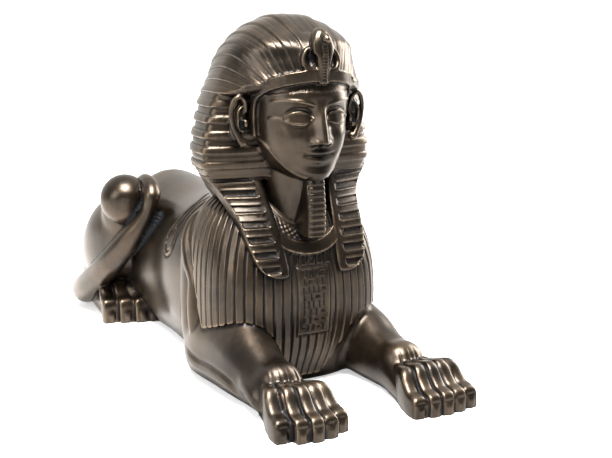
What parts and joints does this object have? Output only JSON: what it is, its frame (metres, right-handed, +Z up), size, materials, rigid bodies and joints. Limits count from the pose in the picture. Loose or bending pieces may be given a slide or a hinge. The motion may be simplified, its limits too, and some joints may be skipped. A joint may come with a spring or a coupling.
{
  "type": "sphinx statue",
  "caption": "Lying sphinx with striped head cloth, cobra, false beard and pleated apron, tail curled round its right haunch; a bronze-finished desk ornament that rests on its underside.",
  "frame": {"origin": "middle of the bounding box on the underside, which rests on the ground", "axes": "+Z up; the figure faces -Y and lies along Y; +X is the figure's left"},
  "size_m": [0.1042, 0.2684, 0.165],
  "materials": {
    "bronze_finish": "dark brown bronze finish with a satin gloss, rubbed to warm gold-brown on raised edges and nearly black in the recesses"
  },
  "bodies": {
    "root": {"sphinx": "bronze_finish"}
  },
  "joints": []
}
